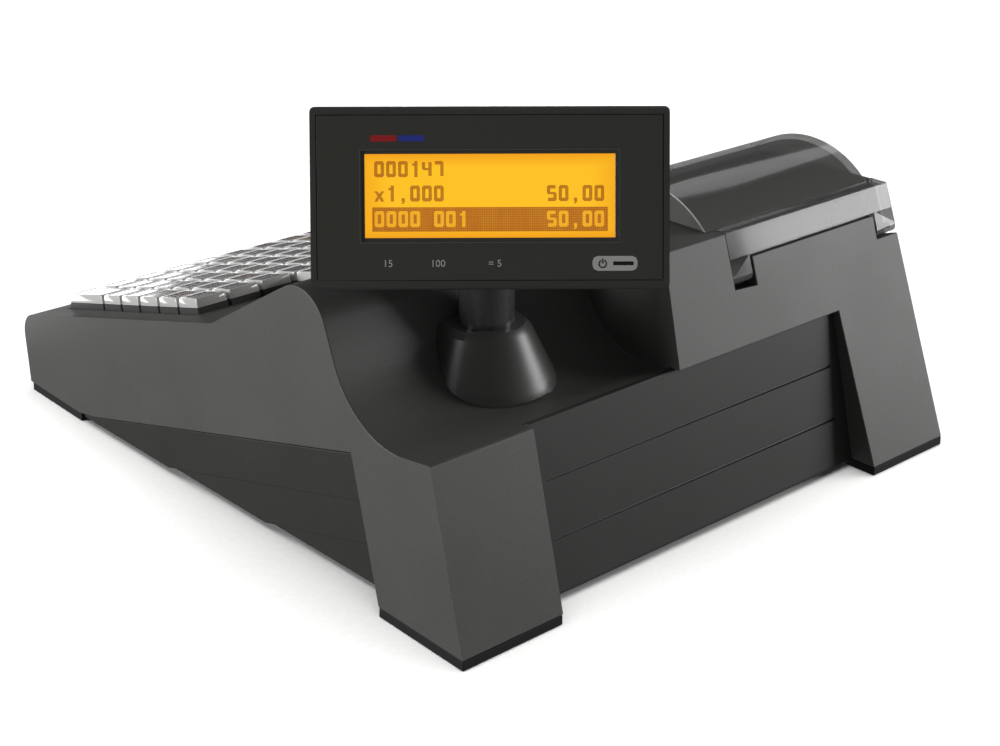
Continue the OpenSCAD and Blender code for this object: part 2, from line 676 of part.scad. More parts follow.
// Angle of a tooth of the driven gear that meshes with a driver whose tooth stands at angle a.
function meshed(a, way, driver, driven) = way + 180 + 180 / driven + (way - a) * driver / driven;
idler_phase = meshed(0, idler_turn, platen_teeth, idler_teeth);
motor_phase = meshed(idler_phase, motor_turn, idler_teeth, motor_teeth);
function gear_points(n, phase) = [for (i = [0:n - 1], k = [-3, -2, -1, 1, 2, 3])
    let (
        r = tooth * (n / 2 + (abs(k) == 3 ? -1.2 : (abs(k) == 2 ? 0 : 0.85))),
        half = 90 / n * (abs(k) == 3 ? 1.25 : (abs(k) == 2 ? 0.86 : 0.4)),
        a = phase + 360 * i / n + sign(k) * half
    )
    r * [cos(a), sin(a)]];
module gear(y, z, n, phase, bore) difference() {
    translate([0, y, z]) along_x(gear_x[0], gear_x[1]) polygon(gear_points(n, phase));
    rod_x(y, z, bore, -200, 0);
}

module printer_frame() color("#8d9094") difference() {
    union() {
        for (x = cheek_x) along_x(x[0], x[1]) polygon([
            [31, 76], [61, 76], [61, 100], [57, 119], [48, 119.5], [31, 110]
        ]);
        block([cheek_x[0][0], cheek_x[1][1]], [31, 57], [100.4, 101.8]);
        block([cheek_x[0][0], cheek_x[1][1]], [31, 32.6], [100.4, 110]);
        rod_x(idler_y, idler_z, 1.5, gear_x[0] - 0.6, -138);
    }
    rod_x(platen_y, platen_z, 2 + running, -200, 0);
    rod_x(motor_y, motor_z, 3, -150, -130);
}
module print_head() color("#3c4a44") block([-134.5, -55.5], [38.2, 40.8], [102, 116]);
module head_spring() color("#b8bcc0") along_x(-105, -85) polygon([
    [32.7, 102.5], [38.1, 107], [38.1, 108.2], [32.7, 111.5], [32.7, 110.7], [37.3, 107.6], [32.7, 103.2]
]);
teeth_in_bar = 40;
bar_w = 80;
module tear_bar() color("#c4c7ca") translate([roll_x, slot_y[1] - 0.4, 0]) rotate([90, 0, 0]) linear_extrude(0.8)
    polygon(concat(
        [[-bar_w / 2, 119.8], [bar_w / 2, 119.8]],
        [for (i = [teeth_in_bar:-1:0], k = [1, 0]) if (i * 2 + k <= 2 * teeth_in_bar)
            [-bar_w / 2 + bar_w * (i * 2 + k) / (2 * teeth_in_bar), slope_height(slot_y[1]) + 0.4 + k * 1.2]]
    ));
module platen_roller() color("#262626") difference() {
    rod_x(platen_y, platen_z, platen_r, roll_x - 40, roll_x + 40);
    rod_x(platen_y, platen_z, 2.02, -200, 0);
}
module platen_shaft() color("#a8abae") rod_x(platen_y, platen_z, 2, gear_x[0], -50);
module platen_gear() color("#e6e2d6") gear(platen_y, platen_z, platen_teeth, 0, 2.02);
module idler_gear() color("#e6e2d6") gear(idler_y, idler_z, idler_teeth, idler_phase, 1.5 + running);
module motor_pinion() color("#c9a94e") gear(motor_y, motor_z, motor_teeth, motor_phase, 1.02);
module motor_shaft() color("#a8abae") rod_x(motor_y, motor_z, 1, gear_x[0] - 0.4, -124);
module motor_body() color("#76797d") difference() {
    union() {
        rod_x(motor_y, motor_z, 10.6, -136.8, -120);
        rod_x(motor_y, motor_z, 2.9, -139, -130);
    }
    rod_x(motor_y, motor_z, 1 + running, -200, -122);
}

// ---- electronics --------------------------------------------------------------------------

module main_board() color("#1f5a34") union() {
    block([-140, 50], [-60, 100], [12.1, 13.7]);
    for (p = [[-60, -30, 24], [-10, 30, 18], [-70, 50, 14]])
        block([p[0], p[0] + p[2]], [p[1], p[1] + p[2]], [13.6, 15.6]);
}
module socket(y, w, h, hole_w, hole_h) difference() {
    block([-154.5, -140.6], [y - w / 2, y + w / 2], [13.8, 13.8 + h]);
    block([-160, -143], [y - hole_w / 2, y + hole_w / 2], [13.8 + (h - hole_h) / 2, 13.8 + (h + hole_h) / 2]);
}
module power_socket() color("#1a1a1a") {
    difference() {
        block([-154.5, -140.6], [socket_y[0] - 5, socket_y[0] + 5], [13.8, 24]);
        rod_x(socket_y[0], 18.9, 3.6, -160, -143);
    }
    rod_x(socket_y[0], 18.9, 1.1, -149, -142);
}
module data_sockets() color("#bdbdb8") {
    socket(socket_y[1], 16, 13.4, 12, 8);
    socket(socket_y[2], 16, 13.4, 12, 8);
}
module battery_pack() color("#2f5fa8") union() for (i = [0:2])
    translate([72 + i * 19, -50, 16.4]) rotate([-90, 0, 0]) cylinder(r = 9.6, h = 68);
module journal_module() color("#8a2f2a") block([66, 96], [40, 66], [6.5, 15]);

upper_casing();
lower_casing();
rear_foot_pads();
front_foot_pads();
case_screws();
keyboard_frame();
keyboard_rubber_mat();
keyboard_board();
operator_window();
operator_lcd();
operator_board();
pole_pedestal();
display_pole();
pole_nut();
swivel_head();
tilt_pin();
display_rear_shell();
display_front_bezel();
display_panel();
display_lcd();
display_board();
display_screws();
printer_lid();
lid_hinge_pins();
paper_bay();
paper_roll();
paper_core();
printer_frame();
print_head();
head_spring();
tear_bar();
platen_roller();
platen_shaft();
platen_gear();
idler_gear();
motor_body();
motor_shaft();
motor_pinion();
main_board();
power_socket();
data_sockets();
battery_pack();
journal_module();
for (c = [1:columns]) key_column(c);
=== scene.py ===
# %% [markdown]
# # A desktop cash register, finished in Blender
# The register is a wedge of grey plastic on four feet. It has a sloping keyboard, a customer
# display on a pole that swivels and tilts, and a receipt printer under a clear domed lid.
# The engineering model comes in first as a fixed frame. Every piece made here takes its place
# from that frame and rides on one of its bodies, so the finished model still moves.

# %% Load the frame
import math

import bmesh
import bpy
from mathutils import Matrix, Vector


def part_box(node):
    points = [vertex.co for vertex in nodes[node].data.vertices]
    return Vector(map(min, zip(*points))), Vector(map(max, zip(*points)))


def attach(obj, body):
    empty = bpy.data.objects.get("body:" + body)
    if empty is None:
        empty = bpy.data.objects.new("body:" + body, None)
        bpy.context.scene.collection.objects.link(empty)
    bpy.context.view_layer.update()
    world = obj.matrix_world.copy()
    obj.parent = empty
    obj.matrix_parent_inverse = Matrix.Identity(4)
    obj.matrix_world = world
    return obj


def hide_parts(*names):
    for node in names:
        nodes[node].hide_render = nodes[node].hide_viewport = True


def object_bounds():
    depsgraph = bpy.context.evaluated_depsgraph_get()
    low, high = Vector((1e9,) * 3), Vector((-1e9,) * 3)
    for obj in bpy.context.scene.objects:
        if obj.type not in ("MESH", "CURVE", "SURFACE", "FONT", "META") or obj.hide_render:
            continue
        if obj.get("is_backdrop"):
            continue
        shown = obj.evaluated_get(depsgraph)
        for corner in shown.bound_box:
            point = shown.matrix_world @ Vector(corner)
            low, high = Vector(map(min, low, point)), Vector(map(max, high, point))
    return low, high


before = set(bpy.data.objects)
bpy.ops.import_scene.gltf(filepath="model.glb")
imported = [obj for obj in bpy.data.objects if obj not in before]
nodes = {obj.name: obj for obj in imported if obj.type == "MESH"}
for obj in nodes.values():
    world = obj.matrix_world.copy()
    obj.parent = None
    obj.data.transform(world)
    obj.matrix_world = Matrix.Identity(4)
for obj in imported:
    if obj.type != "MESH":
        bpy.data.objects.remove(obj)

cad_low, cad_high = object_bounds()
MM = 0.001
print("frame:", len(nodes), "nodes, box", [round(v, 4) for v in (*cad_low, *cad_high)])

# %% [markdown]
# ## Room, light and camera
# The register stands on a plain pale floor. Two large soft lamps stand low: one behind it at the
# left, which fills its back, and one at its right, which fills its side. So the upright faces are
# lighter than the level ones, and the printer housing shades the scoop. The room itself is dim.
# A pale card at floor level shows in the glossy keys, and a card overhead draws a bright stripe
# along the clear dome.

# %% Camera
scene = bpy.context.scene
scene.view_settings.view_transform = "Standard"

camera_data = bpy.data.cameras.new("camera")
camera_data.lens = 62.82
camera_data.sensor_width = 36
camera_data.clip_start = 0.01
camera = bpy.data.objects.new("camera", camera_data)
camera.location = (0.557, 0.665, 0.407)
camera.rotation_euler = (math.radians(66.26), 0, math.radians(139.03))
scene.collection.objects.link(camera)
scene.camera = camera
print("camera:", camera_data.lens, "mm lens,", round(camera.location.length, 2), "m away")


# %% Lamps
def lamp(name, place, target, size, power, depth=None):
    """A soft lamp at a place, turned to a target. With a depth it is a rectangle."""
    data = bpy.data.lights.new(name, "AREA")
    data.size, data.energy = size, power
    if depth:
        data.shape, data.size_y = "RECTANGLE", depth
    made = bpy.data.objects.new(name, data)
    made.location = place
    aim = Vector(target) - Vector(place)
    made.rotation_euler = aim.to_track_quat("-Z", "Y").to_euler()
    made.visible_camera = False
    scene.collection.objects.link(made)
    return made


lamp("back_lamp", (-2.35, 1.5, 0.6), (0, 0.1, 0.1), 1.3, 50)
lamp("side_lamp", (1.9, -1.0, 0.5), (0, 0, 0.1), 1.0, 29)
key_card = lamp("pale_card", (0.02, -0.7, -0.02), (0.02, -0.7, 1), 0.56, 3.6, 0.7)
dome_card = lamp("dome_card", (-1.19, -0.45, 1.08), (-0.09, 0.1, 0.2), 0.5, 0.9, 0.35)
for card in (key_card, dome_card):
    card.visible_diffuse = False       # a card shows as a reflection and throws no light
print("lamps and cards:", len(bpy.data.lights))

# %% Room light: dim above, brighter round the horizon
world = bpy.data.worlds.new("studio")
scene.world = world
world.use_nodes = True
sky = world.node_tree
towards = sky.nodes.new("ShaderNodeTexCoord")
height = sky.nodes.new("ShaderNodeSeparateXYZ")
shade = sky.nodes.new("ShaderNodeMapRange")
shade.inputs["From Min"].default_value, shade.inputs["From Max"].default_value = 0.0, 0.6
shade.inputs["To Min"].default_value, shade.inputs["To Max"].default_value = 0.13, 0.08
sky.links.new(towards.outputs["Generated"], height.inputs[0])
sky.links.new(height.outputs["Z"], shade.inputs["Value"])
sky.links.new(shade.outputs[0], sky.nodes["Background"].inputs["Strength"])
sky.nodes["Background"].inputs["Color"].default_value = (1, 1, 1, 1)

# %% [markdown]
# ## Helpers for shaping
# Each operator works on whatever is selected, so everything is deselected first and one piece is
# taken in hand. Faces and edges are then picked in code, by their place or their normal.

# %% Taking a piece in hand
def take(*pieces):
    bpy.ops.object.select_all(action="DESELECT")
    for piece in pieces:
        piece.select_set(True)
    bpy.context.view_layer.objects.active = pieces[0]


def modify(piece, kind, **settings):
    """Adds a modifier with its settings and applies it."""
    take(piece)
    made = piece.modifiers.new(kind.lower(), kind)
    for key, value in settings.items():
        setattr(made, key, value)
    bpy.ops.object.modifier_apply(modifier=made.name)


def pick(piece, faces=None, edges=None):
    """Goes to edit mode with only the faces (or edges) selected that pass a test."""
    take(piece)
    bpy.ops.object.mode_set(mode="EDIT")
    bpy.ops.mesh.select_mode(type="EDGE" if edges else "FACE")
    bpy.ops.mesh.select_all(action="DESELECT")
    mesh = bmesh.from_edit_mesh(piece.data)
    mesh.normal_update()
    for part in (mesh.edges if edges else mesh.faces):
        if (edges or faces)(part):
            part.select_set(True)
    mesh.select_flush(True)
    bmesh.update_edit_mesh(piece.data)


def leave():
    bpy.ops.object.mode_set(mode="OBJECT")


def slab(name, low, high):
    """A cube primitive between two corners, with its place in its mesh."""
    bpy.ops.object.select_all(action="DESELECT")
    low, high = Vector(low), Vector(high)
    bpy.ops.mesh.primitive_cube_add(size=1, location=(low + high) / 2)
    made = bpy.context.object
    made.name = name
    made.scale = high - low
    bpy.ops.object.transform_apply(location=True, rotation=True, scale=True)
    return made


def smooth(piece, angle=35):
    """Smooth shading that stays crisp at sharp edges and flat on large faces."""
    take(piece)
    bpy.ops.object.shade_smooth_by_angle(angle=math.radians(angle))
    modify(piece, "WEIGHTED_NORMAL", keep_sharp=True, weight=50)


def dress(piece, *finishes):
    piece.data.materials.clear()
    for finish in finishes:
        piece.data.materials.append(finish)


def hand_over(piece, body, slot, *replaced):
    """Puts the piece on the body that it rides on and hides the nodes that it stands for. Its slot is
    not used.
    """
    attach(piece, body)
    if replaced:
        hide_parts(*replaced)


# %% [markdown]
# ## Helper for finishes
# Every finish is a small network of nodes. One function adds a node: text keys name a socket or a
# setting, number keys count sockets, and a link is a pair of a node and its output.

# %% Adding a node, and turning a hex colour to linear light
def linear(hex_colour):
    parts = [int(hex_colour[i:i + 2], 16) / 255 for i in (1, 3, 5)]
    return (*[c / 12.92 if c <= 0.04045 else ((c + 0.055) / 1.055) ** 2.4 for c in parts], 1.0)


def add(finish, kind, settings, **links):
    made = finish.node_tree.nodes.new("ShaderNode" + kind)
    for key, value in settings.items():
        if isinstance(key, int) or key in made.inputs:
            made.inputs[key].default_value = value
        else:
            setattr(made, key, value)
    for key, (source, output) in links.items():
        counted = key[1:].isdigit()
        socket = made.inputs[int(key[1:]) if counted else key.replace("_", " ")]
        finish.node_tree.links.new(source.outputs[output], socket)
    return made


def new_finish(name):
    finish = bpy.data.materials.new(name)
    finish.use_nodes = True
    finish.node_tree.nodes.clear()
    return finish


def two_tones(finish, source, dark, light, low=0.35, high=0.65):
    """Turns a pattern's value into a run from one colour to another."""
    ramp = add(finish, "ValToRGB", {}, Fac=source)
    for stop, (place, colour) in zip(ramp.color_ramp.elements, ((low, dark), (high, light))):
        stop.position, stop.color = place, linear(colour)
    return ramp


def surface(finish, settings, **links):
    """Ends the network with the shader and the output."""
    shader = add(finish, "BsdfPrincipled", settings, **links)
    add(finish, "OutputMaterial", {}, Surface=(shader, "BSDF"))
    return finish


# %% [markdown]
# ## Moulded plastics
# The casing is ABS, injection moulded in a tool whose walls were spark eroded. That leaves a fine
# even grain: no sharp reflection, a soft sheen, and a faint sparkle of tiny pits. The real grain
# is about 0.1 mm, too fine to show from here, so it is drawn at 0.5 mm. A second, slow noise
# varies the tone and the sheen a little, as pigment and handling do.

# %% Finish of moulded plastic, in any colour and grain
def moulded(name, colour, shade, roughness=0.5, grain_mm=0.5, depth_mm=0.02, uneven=0.06, **more):
    finish = new_finish(name)
    place = add(finish, "TexCoord", {})
    at = (place, "Object")
    grain = add(finish, "TexNoise", {"Scale": 1 / (grain_mm * MM), "Detail": 2}, Vector=at)
    drift = add(finish, "TexNoise", {"Scale": 22, "Detail": 4, "Roughness": 0.6}, Vector=at)
    mixed = add(finish, "Math", {"operation": "MULTIPLY_ADD", 1: 0.35},
                _0=(drift, "Fac"), _2=(grain, "Fac"))
    tone = two_tones(finish, (mixed, 0), shade, colour, 0.5, 0.85)
    gloss = add(finish, "MapRange", {"To Min": roughness - uneven, "To Max": roughness + uneven},
                Value=(drift, "Fac"))
    relief = add(finish, "Bump", {"Strength": 0.5, "Distance": depth_mm * MM}, Height=(grain, "Fac"))
    return surface(finish, {"IOR": 1.53, **more}, Base_Color=(tone, 0), Roughness=(gloss, 0),
                   Normal=(relief, 0))


casing_abs = moulded("casing_abs", "#636361", "#575755", 0.48)
lower_abs = moulded("lower_casing_abs", "#3b3b39", "#323230", 0.5)
display_abs = moulded("display_abs", "#5a5a57", "#50504d", 0.38, 0.4, 0.012)
# The edge colour is paler than the plastic: a painted highlight for the bezel's bevels.
display_painted_highlight = moulded("display_abs_painted_highlight", "#8a8a87", "#7c7c79", 0.25, 0.4, 0.004)
pedestal_abs = moulded("pedestal_abs", "#565654", "#4c4c4a", 0.36, 0.4, 0.012)
frame_abs = moulded("keyboard_frame_abs", "#262626", "#1e1e1e", 0.55)
bay_abs = moulded("paper_bay_abs", "#343433", "#2a2a29", 0.5)
skirt_abs = moulded("key_skirt_abs", "#4c4c4b", "#424241", 0.45, 0.4, 0.01)
foot_rubber = moulded("foot_rubber", "#1b1b1b", "#121212", 0.75, 0.7, 0.05)
mat_silicone = moulded("key_mat_silicone", "#858583", "#747472", 0.6, 0.8, 0.03)
platen_nitrile = moulded("platen_nitrile_rubber", "#2b2b2b", "#1f1f1f", 0.7, 0.6, 0.04)
gear_acetal = moulded("gear_acetal", "#ece8dc", "#dcd7c8", 0.35, 0.6, 0.01)
inlet_nylon = moulded("inlet_nylon", "#222222", "#181818", 0.45)
case_red_abs = moulded("journal_case_abs", "#96352f", "#842b26", 0.4)
head_ceramic = moulded("print_head_ceramic", "#43524c", "#38453f", 0.3, 0.5, 0.005)
print("plastics and rubbers:", len(bpy.data.materials))

# %% [markdown]
# ## Lacquer, metal, board and paper
# The pole is a tube with a smooth black lacquer, so it mirrors the room in long streaks. Screws,
# pins and shafts are turned steel: fine rings round them spread the reflection. The circuit
# boards are green solder resist over copper tracks.

# %% Finishes of the pole and the metal parts
def metal(name, colour, roughness, groove_mm, depth_mm=0.004):
    """Turned or rolled metal: a metal's own colour, with fine uneven grooves."""
    finish = new_finish(name)
    place = add(finish, "TexCoord", {})
    turned = add(finish, "TexNoise", {"Scale": 1 / (groove_mm * MM), "Detail": 3, "Distortion": 0.4},
                 Vector=(place, "Object"))
    gloss = add(finish, "MapRange", {"To Min": roughness - 0.08, "To Max": roughness + 0.12},
                Value=(turned, "Fac"))
    relief = add(finish, "Bump", {"Strength": 0.4, "Distance": depth_mm * MM}, Height=(turned, "Fac"))
    return surface(finish, {"Base Color": linear(colour), "Metallic": 1.0},
                   Roughness=(gloss, 0), Normal=(relief, 0))


screw_steel = metal("zinc_plated_screw_steel", "#b5b6b8", 0.32, 0.5)
pin_steel = metal("ground_pin_steel", "#bfc0c2", 0.22, 0.4)
sheet_steel = metal("rolled_sheet_steel", "#a4a7ab", 0.34, 0.9)
pinion_brass = metal("cut_brass", "#c9a349", 0.28, 0.5)
socket_tin = metal("tinned_socket_shell", "#b9bab6", 0.36, 0.8)
pole_lacquer = moulded("black_pole_lacquer", "#525254", "#4a4a4c", 0.2, 1.2, 0.002, 0.03,
                       **{"Coat Weight": 0.6, "Coat Roughness": 0.08})

# %% Finish of the circuit boards
circuit_board = new_finish("solder_resist_board")
place = add(circuit_board, "TexCoord", {})
tracks = add(circuit_board, "TexVoronoi", {"distance": "MANHATTAN", "Scale": 1 / (4 * MM)},
             Vector=(place, "Object"))
green = two_tones(circuit_board, (tracks, "Distance"), "#1d5a36", "#2c7a49", 0.25, 0.32)
step = add(circuit_board, "Bump", {"Strength": 0.3, "Distance": 0.03 * MM},
           Height=(tracks, "Distance"))
surface(circuit_board, {"Roughness": 0.35}, Base_Color=(green, 0), Normal=(step, 0))

# %% [markdown]
# ## Paper, card and cell wrap
# Thermal paper is smooth and slightly warm in its white. On the ends of the roll the edges of the
# turns show as fine rings. One turn is 0.07 mm, far too fine, so the rings are drawn 0.9 mm apart.

# %% Finishes of the roll, its core and the battery
roll_low, roll_high = (Vector(v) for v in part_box("paper_roll"))
roll_centre = (roll_low + roll_high) / 2
ONE_WAVE = 0.314                       # the length of a wave texture's ring at scale 1, in metres


def wound(name, light, dark, ring_mm, roughness):
    finish = new_finish(name)
    place = add(finish, "TexCoord", {})
    centred = add(finish, "Mapping", {"Location": -roll_centre}, Vector=(place, "Object"))
    rings = add(finish, "TexWave",
                {"wave_type": "RINGS", "rings_direction": "X", "Distortion": 1.2, "Detail": 2,
                 "Scale": ONE_WAVE / (ring_mm * MM)}, Vector=(centred, 0))
    tone = two_tones(finish, (rings, "Fac"), dark, light, 0.1, 0.7)
    relief = add(finish, "Bump", {"Strength": 0.5, "Distance": 0.05 * MM}, Height=(rings, "Fac"))
    return surface(finish, {"Roughness": roughness}, Base_Color=(tone, 0), Normal=(relief, 0))


thermal_paper = wound("thermal_paper", "#f5f3ec", "#dfddd4", 0.9, 0.55)
grey_card = wound("wound_core_card", "#b99d74", "#a2875f", 0.5, 0.8)
cell_wrap = moulded("battery_shrink_wrap", "#3266ad", "#2a5796", 0.25, 2.0, 0.03, 0.05,
                    **{"Coat Weight": 0.4})

# %% [markdown]
# ## Clear and smoked plastics
# The lid is a smoked clear moulding about 2.5 mm thick. Looking through its faces darkens what is
# behind, while its cut edges collect light and look pale. So the faces are partly see-through, and
# every rounded edge gets a painted highlight: a pale colour. The key caps' edges get one too.

# %% Finishes of the lid and the clear caps
def clear_plastic(name, colour, alpha, roughness, grain_mm=3.0, **more):
    finish = new_finish(name)
    place = add(finish, "TexCoord", {})
    flow = add(finish, "TexNoise", {"Scale": 1 / (grain_mm * MM), "Detail": 1},
               Vector=(place, "Object"))
    gloss = add(finish, "MapRange", {"To Min": roughness, "To Max": roughness + 0.05},
                Value=(flow, "Fac"))
    relief = add(finish, "Bump", {"Strength": 0.1, "Distance": 0.002 * MM}, Height=(flow, "Fac"))
    return surface(finish, {"Base Color": linear(colour), "Alpha": alpha, "IOR": 1.49, **more},
                   Roughness=(gloss, 0), Normal=(relief, 0))


smoked_face = clear_plastic("smoked_polycarbonate", "#787876", 0.68, 0.06)
# A pale colour painted on the lid's rounded edges: a painted highlight of the light they gather.
smoked_painted_edge_light = clear_plastic("smoked_polycarbonate_painted_edge_light", "#dededc", 1.0, 0.12)
cap_clear = clear_plastic("clear_cap_acrylic", "#ecece9", 1.0, 0.07, **{"Coat Weight": 0.5})
# White painted on the caps' rounded edges: a painted highlight.
cap_painted_edge_light = clear_plastic("clear_cap_painted_edge_light", "#ffffff", 1.0, 0.1, **{"Coat Weight": 0.5})
window_smoke = clear_plastic("smoked_window_acrylic", "#33332f", 0.5, 0.07, **{"Coat Weight": 0.7})
panel_smoke = clear_plastic("display_panel_acrylic", "#585852", 1.0, 0.16, 1.5,
                            **{"Coat Weight": 0.25, "Coat Roughness": 0.12})

# %% [markdown]
# ## The printed inserts under the key caps
# Each clear cap holds a small black card with two lines of pale print, a few of them orange. The
# insert's own map counts keys in whole numbers, so the whole part tells the keys apart and the
# fraction places the print. Nothing readable is printed: the lines are only broken strokes.

# %% Finish of the key inserts
insert_card = new_finish("printed_key_insert")
place = add(insert_card, "UVMap", {"uv_map": "insert"})
one_key = add(insert_card, "VectorMath", {"operation": "FLOOR"}, _0=(place, 0))
within = add(insert_card, "VectorMath", {"operation": "FRACTION"}, _0=(place, 0))
axes = add(insert_card, "SeparateXYZ", {}, Vector=(within, 0))
chance = add(insert_card, "TexWhiteNoise", {"noise_dimensions": "2D"}, Vector=(one_key, 0))
stretched = add(insert_card, "Mapping", {"Scale": (13, 26, 1)}, Vector=(place, 0))
strokes = add(insert_card, "TexVoronoi", {"feature": "DISTANCE_TO_EDGE", "Scale": 1.0},
              Vector=(stretched, 0))
inked = add(insert_card, "Math", {"operation": "LESS_THAN", 1: 0.12}, _0=(strokes, "Distance"))
lines = add(insert_card, "Math", {"operation": "PINGPONG", 1: 0.22}, _0=(axes, "Y"))
in_line = add(insert_card, "Math", {"operation": "LESS_THAN", 1: 0.09}, _0=(lines, 0))
side = add(insert_card, "Math", {"operation": "PINGPONG", 1: 0.5}, _0=(axes, "X"))
in_side = add(insert_card, "Math", {"operation": "GREATER_THAN", 1: 0.16}, _0=(side, 0))
both = add(insert_card, "Math", {"operation": "MULTIPLY"}, _0=(in_line, 0), _1=(in_side, 0))
mark = add(insert_card, "Math", {"operation": "MULTIPLY"}, _0=(both, 0), _1=(inked, 0))
ink = two_tones(insert_card, (chance, "Value"), "#ff7a2c", "#e4e2da", 0.18, 0.19)
printed = add(insert_card, "Mix", {"data_type": "RGBA", 6: linear("#0d0d0d")},
              _0=(mark, 0), _7=(ink, 0))
surface(insert_card, {"Roughness": 0.3, "Coat Weight": 1.0, "Coat Roughness": 0.04},
        Base_Color=(printed, 2))
insert_red = moulded("red_key_insert", "#b02a22", "#9c241d", 0.25, 0.5, 0.002, 0.04,
                     **{"Coat Weight": 1.0, "Coat Roughness": 0.04})
insert_yellow = moulded("yellow_key_insert", "#d8a82a", "#c79721", 0.25, 0.5, 0.002, 0.04,
                        **{"Coat Weight": 1.0, "Coat Roughness": 0.04})

# %% [markdown]
# ## The lit displays
# The display is a liquid crystal cell over an amber backlight. It glows brightest in the middle
# and turns orange at its rim. The dots that are on are brown and let some amber through. In a
# line that is switched on as a whole, the gaps between the dots glow through in uneven streaks.

# %% Finishes of the backlight, the dots and the inverse band
DOTS_SHOWN = (115, 36, 0)              # dots across and up, drawn coarser than the real ones


def backlit(name, middle, rim, strength, woven=None):
    """A glow that falls from the middle of the piece's own map to its rim. A woven colour, if
    any, shows in the gaps between the dots."""
    finish = new_finish(name)
    place = add(finish, "UVMap", {"uv_map": "lit"})
    centred = add(finish, "VectorMath", {"operation": "SUBTRACT", 1: (0.5, 0.5, 0)}, _0=(place, 0))
    axes = add(finish, "SeparateXYZ", {}, Vector=(centred, 0))
    across = add(finish, "Math", {"operation": "ABSOLUTE"}, _0=(axes, "X"))
    up = add(finish, "Math", {"operation": "ABSOLUTE"}, _0=(axes, "Y"))
    sharp_x = add(finish, "Math", {"operation": "MULTIPLY_ADD", 1: 1.0, 2: -0.06}, _0=(across, 0))
    farthest = add(finish, "Math", {"operation": "SMOOTH_MAX", 2: 0.1}, _0=(sharp_x, 0), _1=(up, 0))
    glow = (two_tones(finish, (farthest, 0), middle, rim, 0.34, 0.56), 0)
    if woven:
        in_dots = add(finish, "VectorMath", {"operation": "MULTIPLY", 1: DOTS_SHOWN}, _0=(place, 0))
        gaps = add(finish, "TexVoronoi", {"distance": "CHEBYCHEV", "Randomness": 0.0, "Scale": 1.0},
                   Vector=(in_dots, 0))
        streaks = add(finish, "Mapping", {"Scale": (24, 1.5, 1)}, Vector=(place, 0))
        uneven = add(finish, "TexNoise", {"Scale": 1.0, "Detail": 2}, Vector=(streaks, 0))
        opened = add(finish, "MapRange", {"From Min": 0.32, "From Max": 0.5},
                     Value=(gaps, "Distance"))
        showing = add(finish, "Math", {"operation": "MULTIPLY"}, _0=(opened, 0), _1=(uneven, "Fac"))
        glow = (add(finish, "Mix", {"data_type": "RGBA", 7: linear(woven)},
                    _0=(showing, 0), _6=glow), 2)
    return surface(finish, {"Base Color": linear("#1a1206"), "Roughness": 0.25,
                            "Emission Strength": strength}, Emission_Color=glow)


lit_amber = backlit("amber_backlight", "#ffc225", "#ee9212", 1.0)
dot_brown = backlit("dark_display_dots", "#ad5c1c", "#9a4b0c", 0.8)
band_brown = backlit("inverse_display_band", "#bb6d1f", "#a9590f", 0.85, "#ffb42c")
dot_amber = backlit("bright_display_dots", "#ffbb2a", "#f09a1c", 1.0)
print_white = moulded("screen_print_white", "#fbfbf7", "#efefea", 0.5, 0.3, 0.001)
print_grey = moulded("screen_print_grey", "#7c7c77", "#70706c", 0.5, 0.3, 0.001)
print_red = moulded("screen_print_red", "#e8343a", "#d82c32", 0.5, 0.3, 0.001)
print_blue = moulded("screen_print_blue", "#4657d8", "#3c4cc8", 0.5, 0.3, 0.001)
print("finishes:", len(bpy.data.materials))

# %% [markdown]
# ## Mouldings with softened edges
# The casing, the display housing and the lid have their true shape already in the frame, but a
# frame node has knife-sharp edges, which no moulding has. So each is copied, its loose triangles
# are merged, flat areas become single faces, and every long sharp edge is rounded with a bevel.

# %% Copying a node and rounding its edges
def softened(node, radius_mm, *finishes, body, slot, crease=28, painted_highlight_index=-1, cut_flat=0.4):
    source = nodes[node]
    piece = source.copy()
    piece.data = source.data.copy()
    piece.parent = None
    piece.matrix_world = Matrix.Identity(4)
    piece.name = "moulded_" + node
    scene.collection.objects.link(piece)
    dress(piece, *finishes)
    piece.data.polygons.foreach_set("material_index", [0] * len(piece.data.polygons))
    take(piece)
    bpy.ops.object.mode_set(mode="EDIT")
    bpy.ops.mesh.select_all(action="SELECT")
    bpy.ops.mesh.remove_doubles(threshold=4e-6)
    bpy.ops.mesh.dissolve_limited(angle_limit=math.radians(cut_flat))
    leave()
    round_edges(piece, radius_mm * MM, crease, painted_highlight_index)
    smooth(piece)
    hand_over(piece, body, slot, node)
    return piece


def round_edges(piece, radius, crease, painted_highlight_index, segments=2):
    """Bevels sharp edges that have room for it; the short edges of small curves stay as they are."""
    shape = bmesh.new()
    shape.from_mesh(piece.data)
    weight = shape.edges.layers.float.get("bevel_weight_edge") or \
        shape.edges.layers.float.new("bevel_weight_edge")
    room = 2.3 * radius
    roomy = {v.index: all(e.calc_length() > room for e in v.link_edges) for v in shape.verts}
    count = 0
    for edge in shape.edges:
        sharp = len(edge.link_faces) == 2 and edge.calc_face_angle(0) > math.radians(crease)
        if sharp and all(roomy[v.index] for v in edge.verts):
            edge[weight] = 1.0
            count += 1
    shape.to_mesh(piece.data)
    shape.free()
    if count:
        # The new bevel faces take the finish at the painted highlight index, if one is given.
        modify(piece, "BEVEL", limit_method="WEIGHT", width=radius, segments=segments,
               use_clamp_overlap=False, material=painted_highlight_index)
    print(piece.name, "rounded edges:", count, "faces:", len(piece.data.polygons))


softened("upper_casing", 0.6, casing_abs, body="casing", slot="casing_plastic")
softened("lower_casing", 0.4, lower_abs, body="casing", slot="lower_casing_plastic")
softened("rear_foot_pads", 0.4, foot_rubber, body="casing", slot="pad_rubber")
softened("front_foot_pads", 0.4, foot_rubber, body="casing", slot="pad_rubber")
